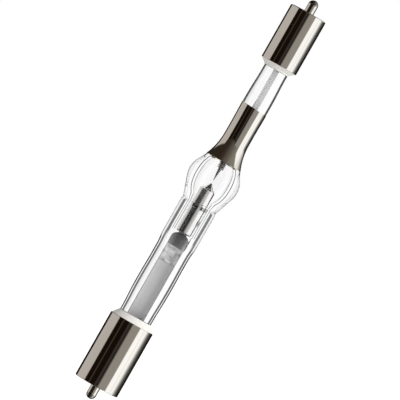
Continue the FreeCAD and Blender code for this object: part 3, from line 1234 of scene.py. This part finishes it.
@dataclass
class Electrodes:
    """The anode, the cathode with its coil, and the foils and leads behind them, in millimetres."""

    anode_radius: float = 1.55
    anode_tip_flat: float = 0.15
    tail_radius: float = 0.6
    cathode_radius: float = 0.35
    cathode_point: float = 0.05
    taper: float = 1.75
    wire_radius: float = 0.18
    coil_pitch: float = 0.48
    coil_turns: float = 6.5
    foil_half: float = 1.25
    foil_thickness: float = 0.06
    foil_edge: float = 0.02
    cathode_foil_turn: float = 73.0
    weld: float = 2.6
    anode_seat: float = 33.6
    seat_bevel: float = 0.2
    shoulder_round: float = 0.15
    tip_rounds: Triple = (0.03, 0.01, 0.05)
    tip_share: float = 0.6
    air: float = 0.005
    coil_air: float = 0.01
    anode_around: int = 144
    cathode_around: int = 64
    wire_around: int = 16
    wire_steps: int = 48
    rod_steps: int = 24
    foil_rows: tuple[int, int] = (40, 24)
    foil_bend: float = 88.0
    foil_columns: tuple[float, ...] = (-1.0, -0.6, -0.2, 0.2, 0.6, 1.0)
    foil_ripple: float = 0.02
    ripple_waves: Triple = (0.8, 3.0, 0.25)
    foil_sharp: float = 50.0

    def half_rod(self, radius: float, low: float, high: float, turn: float, first: int) -> Shape:
        """Shape the half of a rod that lies behind its foil, where it was ground flat for the weld.

        Args:
            radius: The rod's radius.
            low: The height of its lower end.
            high: The height of its upper end.
            turn: How far it is turned about the lamp's axis, in degrees.
            first: The index that its first vertex gets.

        Returns:
            The vertices, in metres, and the faces.
        """
        flat = self.foil_thickness / 2 + self.air
        start = math.degrees(math.asin(flat / radius))
        swing = Matrix.Rotation(math.radians(turn), 3, "Z")
        rim = [Vector((*spoke(angle, radius), 0)) for angle in steps(start, 180 - start, self.rod_steps)]
        count = len(rim)
        points = [(swing @ (spot + Vector((0, 0, z)))) * MM for z in (low, high) for spot in rim]
        ring = range(first, first + count)
        faces = [(a, a + 1, a + 1 + count, a + count) for a in ring[:-1]]
        faces.append((ring[-1], ring[0], ring[0] + count, ring[-1] + count))
        faces.append(tuple(reversed(ring)))
        faces.append(tuple(a + count for a in ring))
        return points, faces

    def build_anode(self) -> Piece:
        """Make the pointed anode and its half-round tail.

        Returns:
            The piece.
        """
        tip = top_of("anode")
        radius = self.anode_radius
        flat = self.anode_tip_flat
        seat, bevel = self.anode_seat, self.seat_bevel
        # The point's sides rise at 45 degrees, and a small round leads over to them.
        sink = self.shoulder_round * math.tan(math.radians(45 / 2))
        centre = (radius - self.shoulder_round, tip - (radius - flat) - sink)
        slope = bow(centre, self.shoulder_round, 0, 45, 4)
        outline = chained(
            [(0, seat), (radius - bevel, seat)],
            held((radius, seat + bevel), slope[0], 6),
            slope,
            held(slope[-1], (flat, tip - self.tip_rounds[0]), 6),
            [(flat * self.tip_share, tip), (0, tip)],
        )
        points, faces = Turning(outline, self.anode_around).mesh_data(0)
        tail = self.half_rod(self.tail_radius, foot_of("anode"), seat, 0, len(points))
        piece = add_mesh("anode_rod", points + tail[0], faces + tail[1], [TUNGSTEN])
        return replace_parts(piece, "anode")

    def build_cathode(self) -> Piece:
        """Make the slender cathode.

        Returns:
            The piece.
        """
        foot, head = foot_of("cathode"), top_of("cathode")
        _, first, second = self.tip_rounds
        point, radius, rear = self.cathode_point, self.cathode_radius, head - self.weld
        outline = chained(
            [(0, foot), (point * self.tip_share, foot + first)],
            held((point, foot + second), (radius, foot + self.taper), 8),
            held((radius, foot + self.taper), (radius, rear), 8),
            [(0, rear)],
        )
        points, faces = Turning(outline, self.cathode_around).mesh_data(0)
        tail = self.half_rod(radius, rear, head, self.cathode_foil_turn, len(points))
        piece = add_mesh("cathode_rod", points + tail[0], faces + tail[1], [CATHODE_METAL])
        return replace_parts(piece, "cathode")

    def build_coil(self) -> Piece:
        """Make the coil of tungsten wire behind the cathode's point.

        Returns:
            The piece.
        """
        foot = foot_of("cathode_coil")
        wind = self.cathode_radius + self.wire_radius + self.coil_air
        around, per_turn = self.wire_around, self.wire_steps
        climb = self.coil_pitch / (2 * math.pi)
        points: list[Vector] = []
        faces: list[tuple[int, ...]] = []
        rings = int(self.coil_turns * per_turn)
        for ring in range(rings + 1):
            turn = 2 * math.pi * ring / per_turn
            centre = Vector((wind * math.cos(turn), wind * math.sin(turn), 0))
            centre.z = foot + self.wire_radius + self.coil_pitch * ring / per_turn
            out = Vector((math.cos(turn), math.sin(turn), 0))
            ahead = Vector((-wind * math.sin(turn), wind * math.cos(turn), climb)).normalized()
            up = ahead.cross(out)
            for step in range(around):
                spin = 2 * math.pi * step / around
                side = (out * math.cos(spin) + up * math.sin(spin)) * self.wire_radius
                points.append((centre + side) * MM)
            if ring:
                low, high = (ring - 1) * around, ring * around
                pairs = [(step, (step + 1) % around) for step in range(around)]
                faces += [(low + a, high + a, high + b, low + b) for a, b in pairs]
        faces.append(tuple(range(around)))
        faces.append(tuple(reversed(range(rings * around, (rings + 1) * around))))
        piece = add_mesh("starting_coil", points, faces, [COIL_WIRE])
        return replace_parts(piece, "cathode_coil")

    def foil(self, side: Side, turn: float, finish: Finish) -> Piece:
        """Make one seal foil with feathered sides, rounded at the end towards the arc.

        Args:
            side: Which end of the lamp it seals.
            turn: How far it is turned about the lamp's axis, in degrees.
            finish: Its finish.

        Returns:
            The piece.
        """
        foot, head = foot_of(f"{side.value}_foil"), top_of(f"{side.value}_foil")
        half = self.foil_half
        rows, bend = self.foil_rows
        levels = steps(foot, head - half, rows)
        widths = [half] * len(levels)
        for angle in steps(0, self.foil_bend, bend)[1:]:
            width, rise = spoke(angle, half)
            levels.append(head - half + rise)
            widths.append(width)
        if side is Side.CATHODE:
            levels = [foot + head - z for z in levels][::-1]
            widths = widths[::-1]
        across, layer, up = self.ripple_waves
        swing = Matrix.Rotation(math.radians(turn), 3, "Z")
        points: list[Vector] = []
        for level, width in zip(levels, widths):
            for face in (-1, 1):
                for share in self.foil_columns:
                    thick = self.foil_edge if abs(share) == 1 else self.foil_thickness
                    wave = noise.noise(Vector((share * across, layer, level * up)))
                    spot = Vector((share * width, face * thick / 2 + self.foil_ripple * wave, level))
                    points.append(swing @ spot * MM)
        count = len(self.foil_columns)
        ring = [*range(count), *range(2 * count - 1, count - 1, -1)]
        faces: list[tuple[int, ...]] = []
        for row in range(len(levels) - 1):
            low, high = row * 2 * count, (row + 1) * 2 * count
            faces += [(low + a, low + b, high + b, high + a) for a, b in zip(ring, ring[1:] + ring[:1])]
        faces.append(tuple(reversed(ring)))
        last = (len(levels) - 1) * 2 * count
        faces.append(tuple(last + i for i in ring))
        piece = add_mesh(f"{side.value}_seal_foil", points, faces, [finish], crease=self.foil_sharp)
        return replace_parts(piece, f"{side.value}_foil")

    def build_foils(self) -> list[Piece]:
        """Make both seal foils."""
        anode = self.foil(Side.ANODE, 0, FOIL)
        return [anode, self.foil(Side.CATHODE, self.cathode_foil_turn, CATHODE_FOIL_PAINTED_LIGHTER)]

    def dress_leads(self) -> list[Piece]:
        """Give the two lead rods their metal.

        Returns:
            The rods.
        """
        leads = [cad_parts[f"{side.value}_lead_rod"] for side in Side]
        for lead in leads:
            dress(lead, LEAD_METAL)
        return leads

    def build(self) -> list[Piece]:
        """Make the electrodes' pieces."""
        return [
            self.build_anode(),
            self.build_cathode(),
            self.build_coil(),
            *self.build_foils(),
            *self.dress_leads(),
        ]


def dress(node: Piece, finish: Finish) -> None:
    """Give a node of the frame a finish in all its slots.

    Args:
        node: The node's object.
        finish: The finish.
    """
    if not node.material_slots:
        node.data.materials.append(finish.material())
    for slot in node.material_slots:
        slot.material = finish.material()


@dataclass
class MercuryFill:
    """The mercury that condensed in the gap round the anode, and fine drops of it above.

    The long drop's place is its angle, its depth inside the bore's wall and its height, and the thread's
    is its angle, radius and height. The strides spread the fine drops evenly without a pattern.
    """

    burner: Burner
    drops: int = 30
    sizes: Point = (0.035, 0.1)
    spread: Point = (-58.0, 100.0)
    heights: Point = (39.3, 40.5)
    crowding: float = 1.5
    strides: Triple = (0.618034, 0.414214, 0.732051)
    first_rise: float = 0.2
    stretch: float = 1.2
    bedding: float = 0.8
    long_drop: Triple = (64.0, 0.12, 36.55)
    long_drop_halves: Triple = (0.11, 0.18, 0.68)
    thread: Triple = (90.0, 1.3, 32.1)
    thread_halves: Triple = (0.085, 0.1, 1.55)
    around: int = 16
    rows: int = 9

    def bead(self, turn: float, radius: float, height: float, halves: Triple, first: int) -> Shape:
        """Shape one drop as an ellipsoid.

        Args:
            turn: Where it lies round the axis, in degrees from the front.
            radius: How far its middle is from the axis.
            height: The height of its middle.
            halves: Its half sizes away from the axis, round it and along it.
            first: The index that its first vertex gets.

        Returns:
            The vertices, in metres, and the faces.
        """
        swing = Matrix.Rotation(math.radians(turn - 90), 3, "Z")
        middle = Vector((radius, 0, 0))
        points: list[Vector] = []
        for row in range(self.rows + 1):
            rise = math.pi * (row / self.rows - 0.5)
            level = math.cos(rise)
            for step in range(self.around):
                spin = 2 * math.pi * step / self.around
                spot = Vector((level * math.cos(spin), level * math.sin(spin), math.sin(rise)))
                spot = middle + Vector(a * b for a, b in zip(spot, halves))
                points.append((swing @ spot + Vector((0, 0, height))) * MM)
        faces = []
        pairs = [(step, (step + 1) % self.around) for step in range(self.around)]
        for row in range(self.rows):
            low, high = first + row * self.around, first + (row + 1) * self.around
            faces += [(low + a, low + b, high + b, high + a) for a, b in pairs]
        return points, faces

    def build_drops(self) -> Piece:
        """Scatter fine drops over the cavity's foot, and add a long drop and a thread.

        Returns:
            The piece.
        """
        wall = self.burner.hollow()
        turn, depth, height = self.long_drop
        beads = [
            (turn, self.burner.bore_radius - depth, height, self.long_drop_halves),
            (*self.thread, self.thread_halves),
        ]
        for number in range(self.drops):
            share, rise, grow = (number * stride % 1.0 for stride in self.strides)
            size = self.sizes[0] + (self.sizes[1] - self.sizes[0]) * grow ** 2
            turn = self.spread[0] + (self.spread[1] - self.spread[0]) * share
            rise = (rise + self.first_rise) % 1.0
            height = self.heights[0] + (self.heights[1] - self.heights[0]) * rise ** self.crowding
            radius = next(r for r, z in wall if z > height) - size * self.bedding
            beads.append((turn, radius, height, (size, size * self.stretch, size)))
        points: list[Vector] = []
        faces: list[tuple[int, ...]] = []
        for bead in beads:
            more, joined = self.bead(*bead, len(points))
            points += more
            faces += joined
        return add_mesh("mercury_drops", points, faces, [MERCURY], crease=180.0)

    def build(self) -> list[Piece]:
        """Give the pools their finish and add the drops.

        Returns:
            The pools and the drops.
        """
        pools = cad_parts["mercury_pools"]
        dress(pools, MERCURY)
        return [pools, self.build_drops()]


def mirrored(*stops: tuple[float, float]) -> Bands:
    """Make bands of greys that are the same on both sides of the front.

    Args:
        *stops: Each change's angle from the front, in degrees, and its brightness.

    Returns:
        The bands.
    """
    left = [(-angle, grey(level)) for angle, level in reversed(stops)]
    return (*left, *((angle, grey(level)) for angle, level in stops))


SOFTBOX: Colour = (1.49, 1.55, 1.6)
SOFTBOX_DIP: Colour = (1.23, 1.28, 1.34)
GREY_CARD: Colour = (0.40, 0.385, 0.365)
PALE_CARD: Colour = (0.69, 0.665, 0.65)
CARDS: Bands = (
    (-180.0, SOFTBOX), (-172.0, SOFTBOX), (-166.0, BLACK), (-133.0, BLACK),
    (-131.0, PALE_CARD), (-69.0, PALE_CARD), (-65.0, BLACK), (-45.0, BLACK),
    (-40.0, (0.07, 0.062, 0.055)), (-35.0, BLACK), (-14.0, BLACK),
    (-8.0, (0.06, 0.052, 0.05)), (-2.0, (0.04, 0.035, 0.033)), (5.0, BLACK),
    (13.0, GREY_CARD), (49.0, GREY_CARD), (53.0, SOFTBOX), (74.0, SOFTBOX),
    (78.0, SOFTBOX_DIP), (83.0, SOFTBOX), (91.0, SOFTBOX), (99.0, (1.02, 1.05, 1.06)),
    (106.0, (0.56, 0.57, 0.57)), (113.0, grey(0.25)), (121.0, grey(0.11)), (131.0, grey(0.05)),
    (142.0, BLACK), (166.0, BLACK), (172.0, SOFTBOX), (180.0, SOFTBOX),
)
GLASS_CARDS: Bands = mirrored(
    (24.0, 0.2), (30.0, 1.0), (36.0, 1.0), (39.0, 0.03), (46.0, 0.03), (48.0, 1.0), (104.0, 1.0),
    (108.0, 0.35), (116.0, 0.35), (119.0, 1.0), (137.0, 1.0), (140.0, 0.03), (147.0, 0.03),
    (149.0, 1.0), (180.0, 1.0),
)
ELECTRODE_CARDS: Bands = (
    (-180.0, grey(0.85)), (-94.0, grey(0.85)), (-80.0, grey(0.74)), (-68.0, grey(0.05)),
    (-56.0, grey(0.01)), (-14.0, grey(0.01)), (-5.0, grey(0.06)), (9.0, grey(0.56)),
    (30.0, grey(0.66)), (42.0, grey(1.0)), (54.0, grey(1.45)), (99.0, grey(1.4)),
    (105.0, grey(0.5)), (111.0, grey(0.03)), (180.0, grey(0.02)),
)
BACKDROP: Bands = (
    (-180.0, WHITE), (137.0, WHITE), (142.0, (0.76, 0.76, 0.77)), (148.0, (0.85, 0.85, 0.86)), (155.0, WHITE),
)
CEILING: Bands = (
    (-180.0, (0.036, 0.026, 0.02)), (-50.0, (0.04, 0.028, 0.02)), (-24.0, (0.06, 0.05, 0.04)),
    (-6.0, (0.13, 0.11, 0.095)), (12.0, (0.17, 0.155, 0.135)), (34.0, (0.28, 0.265, 0.235)),
    (56.0, (0.33, 0.32, 0.285)), (86.0, (0.33, 0.32, 0.285)), (93.0, (1.3, 1.32, 1.33)),
    (106.0, (1.15, 1.17, 1.18)), (126.0, (0.5, 0.5, 0.49)), (133.0, grey(0.24)),
    (150.0, (0.04, 0.035, 0.03)), (180.0, (0.036, 0.026, 0.02)),
)
FILL: Bands = (
    (-180.0, grey(0.6)), (-90.0, grey(0.36)), (0.0, grey(0.7)), (90.0, grey(1.25)), (180.0, grey(0.7)),
)
CARD_TOPS: Tones = (
    (-180.0, 0.3), (-126.0, 0.26), (-72.0, 0.26), (-68.0, 0.14), (-30.0, 0.07), (0.0, 0.14), (7.0, 0.22),
    (47.0, 0.22), (53.0, 0.37), (70.0, 0.5), (86.0, 0.62), (96.0, 0.14), (180.0, 0.14),
)


class Outlook:
    """The world's nodes, and the direction in which a ray leaves the lamp."""

    def __init__(self, world: bpy.types.World, gain: float) -> None:
        """Lay out the nodes that give the ray's direction.

        Args:
            world: The world that the nodes belong to.
            gain: The brightness that a ramp's white stands for.
        """
        self.sheet = NodeSheet(world)
        self.gain = gain
        right, back, self.rise = self.sheet.axes(Space.SKY)
        self.azimuth = self.sheet.maths("ARCTAN2", right, self.sheet.maths("MULTIPLY", back, -1.0))
        self.share = self.sheet.maths("MULTIPLY_ADD", self.azimuth, 1 / (2 * math.pi), 0.5)
        self.height = self.sheet.maths("ABSOLUTE", self.rise)

    def ring(self, bands: Bands) -> Plug:
        """Look up what stands round the lamp in the ray's direction.

        Args:
            bands: Each change's azimuth, in degrees from the front, and its brightness.

        Returns:
            The output that holds the colour.
        """
        stops = [((a + 180) / 360, tuple(c / self.gain for c in colour)) for a, colour in bands]
        return self.sheet.scaled(self.sheet.ramp(self.share, stops), self.gain)


@dataclass
class Studio:
    """The camera, the pale floor, the soft lights and what the metal mirrors."""

    frame_width: float = 76.48
    distance: float = 950.0
    aim: Point = (-0.34, 40.73)
    axis_right: float = 0.4955
    axis_up: float = 0.8686
    sensor: float = 36.0
    clip: Point = (0.05, 20.0)
    floor_height: float = -15.0
    floor_size: float = 6.0
    floor_colour: Colour = (0.85, 0.85, 0.85)
    floor_lift: float = 0.5
    cone_top: float = 0.9
    cone_edge: float = 155.0
    electrode_top: float = 0.45
    front_edge: float = 30.0
    front_top: float = 0.1
    cards_below: float = 0.4
    cards_edge: float = 20.0
    lamps_aim: float = 0.04
    light_bounces: int = 128
    gain: float = 2.0

    def place_camera(self) -> None:
        """Set the camera where the photograph was taken from, rolled as it was."""
        data = bpy.data.cameras.new("camera")
        data.sensor_width = self.sensor
        data.lens = self.sensor * self.distance / self.frame_width
        data.clip_start, data.clip_end = self.clip
        camera = bpy.data.objects.new("camera", data)
        right = Vector((self.axis_up, 0, self.axis_right))
        up = Vector((-self.axis_right, 0, self.axis_up))
        back = right.cross(up)
        turn = Matrix((right, up, back)).transposed().to_4x4()
        target = Vector((self.aim[0], 0, self.aim[1])) * MM
        camera.matrix_world = Matrix.Translation(target + back * self.distance * MM) @ turn
        bpy.context.scene.collection.objects.link(camera)
        bpy.context.scene.camera = camera

    def lay_floor(self) -> None:
        """Lay the pale floor a little below the lamp."""
        half = self.floor_size / 2
        mesh = bpy.data.meshes.new("floor")
        signs = ((-1, -1), (1, -1), (1, 1), (-1, 1))
        corners = [(x * half, y * half, self.floor_height * MM) for x, y in signs]
        mesh.from_pydata(corners, [], [(0, 1, 2, 3)])
        material = bpy.data.materials.new("pale_floor")
        sheet = NodeSheet(material)
        path = sheet.add("LightPath")
        plain = sheet.add("BsdfDiffuse")
        plain.inputs["Color"].default_value = (*self.floor_colour, 1.0)
        lift = sheet.add("Emission")
        lifted = sheet.maths("MULTIPLY", path.outputs["Is Camera Ray"], self.floor_lift)
        sheet.join(lifted, lift.inputs["Strength"])
        seen = sheet.add("AddShader")
        sheet.join(plain.outputs[0], seen.inputs[0])
        sheet.join(lift.outputs[0], seen.inputs[1])
        output = sheet.add("OutputMaterial")
        sheet.join(seen.outputs[0], output.inputs["Surface"])
        mesh.materials.append(material)
        floor = bpy.data.objects.new("floor", mesh)
        floor.visible_glossy = False
        floor.visible_transmission = False
        bpy.context.scene.collection.objects.link(floor)

    def metal_view(self, out: Outlook) -> Plug:
        """Lay out what metal mirrors: cards all round, and a ceiling above their tops.

        Args:
            out: The world's nodes and directions.

        Returns:
            The output that holds the colour.
        """
        sheet = out.sheet
        tops = sheet.ramp(out.share, [((a + 180) / 360, grey(reach)) for a, reach in CARD_TOPS])
        below = sheet.maths("LESS_THAN", out.rise, 0.0)
        tops = sheet.maths("MULTIPLY_ADD", below, self.cards_below, tops)
        under = sheet.maths("SUBTRACT", tops, out.height)
        on_cards = sheet.maths("MULTIPLY_ADD", under, self.cards_edge, 0.5, clamp=True)
        return sheet.blend(on_cards, out.ring(CEILING), out.ring(CARDS))

    def glass_view(self, out: Outlook) -> Plug:
        """Lay out what glass shows where light turns back inside it.

        Args:
            out: The world's nodes and directions.

        Returns:
            The output that holds the colour.
        """
        sheet = out.sheet
        front = sheet.maths("LESS_THAN", sheet.maths("ABSOLUTE", out.azimuth), math.radians(self.front_edge))
        steep = sheet.maths("GREATER_THAN", out.height, self.front_top)
        return sheet.blend(sheet.maths("MULTIPLY", front, steep), out.ring(GLASS_CARDS), WHITE)

    def gas_view(self, out: Outlook) -> Plug:
        """Lay out what the electrodes mirror in the gas: cards at their level, and light or dark above it.

        Args:
            out: The world's nodes and directions.

        Returns:
            The output that holds the colour.
        """
        sheet = out.sheet
        level = sheet.maths("LESS_THAN", out.rise, self.electrode_top)
        aside = sheet.maths("GREATER_THAN", out.azimuth, math.radians(self.cone_edge))
        overhead = sheet.maths("GREATER_THAN", out.height, self.cone_top)
        by_cone = sheet.blend(sheet.maths("MAXIMUM", aside, overhead), WHITE, BLACK)
        return sheet.blend(level, by_cone, out.ring(ELECTRODE_CARDS))

    def light_world(self) -> None:
        """Light the lamp softly from all round, and give metal and glass a studio to show."""
        world = bpy.data.worlds.new("studio")
        bpy.context.scene.world = world
        world.cycles.sampling_method = "NONE"
        cycles = bpy.context.scene.cycles
        cycles.max_bounces = cycles.transmission_bounces = cycles.glossy_bounces = self.light_bounces
        out = Outlook(world, self.gain)
        sheet = out.sheet
        path = sheet.add("LightPath")
        passes, bounces = path.outputs["Transmission Depth"], path.outputs["Glossy Depth"]
        passed = sheet.maths("GREATER_THAN", passes, 0.5)
        bounced = sheet.maths("GREATER_THAN", bounces, 0.5)
        # A ray that passed three faces of glass or more and bounced once has met an electrode in the gas.
        through_gas = sheet.maths("GREATER_THAN", passes, 2.5)
        by_electrode = sheet.maths("MULTIPLY", through_gas, sheet.maths("LESS_THAN", bounces, 1.5))
        by_glass = sheet.maths("SUBTRACT", passed, by_electrode)
        mirrored_view = sheet.blend(by_electrode, self.metal_view(out), self.gas_view(out))
        seen = sheet.blend(path.outputs["Is Diffuse Ray"], WHITE, out.ring(FILL))
        seen = sheet.blend(passed, seen, out.ring(BACKDROP))
        seen = sheet.blend(bounced, seen, sheet.blend(by_glass, mirrored_view, self.glass_view(out)))
        background = sheet.add("Background")
        sheet.join(seen, background.inputs["Color"])
        output = sheet.add("OutputWorld")
        sheet.join(background.outputs[0], output.inputs["Surface"])

    def hang_lamp(self, name: str, place: Triple, size: float, power: float) -> None:
        """Hang one soft light that the metal and the glass don't mirror.

        Args:
            name: The light's name.
            place: Where it hangs, in metres.
            size: Its width, in metres.
            power: Its power, in watts.
        """
        data = bpy.data.lights.new(name, "AREA")
        data.shape = "DISK"
        data.size = size
        data.energy = power
        light = bpy.data.objects.new(name, data)
        light.location = Vector(place)
        aim = Vector((0, 0, self.lamps_aim)) - light.location
        light.rotation_mode = "QUATERNION"
        light.rotation_quaternion = aim.to_track_quat("-Z", "Y")
        light.visible_glossy = False
        light.visible_transmission = False
        light.visible_camera = False
        bpy.context.scene.collection.objects.link(light)

    def build(self) -> None:
        """Set up the whole studio."""
        self.place_camera()
        self.lay_floor()
        self.light_world()
        self.hang_lamp("key", (0.7, -0.55, 0.45), size=0.5, power=3.6)
        self.hang_lamp("low_fill", (0.3, -0.6, 0.01), size=0.3, power=1.2)
        bpy.context.scene.view_settings.view_transform = "Standard"


def main() -> None:
    """Build every class in order and report its pieces."""
    logging.basicConfig(level=logging.INFO, format="%(name)s: %(message)s")
    Studio().build()
    burner = Burner()
    makers = (
        burner,
        Electrodes(),
        MercuryFill(burner),
        Base(Side.ANODE, stem_radius=burner.anode_end_radius, collar_height=1.25),
        Base(Side.CATHODE, stem_radius=burner.cathode_end_radius, collar_height=0.95),
    )
    for maker in makers:
        for piece in maker.build():
            log.info("%s: %s, %d faces", type(maker).__name__, piece.name, len(piece.data.polygons))


if __name__ == "__main__":
    main()
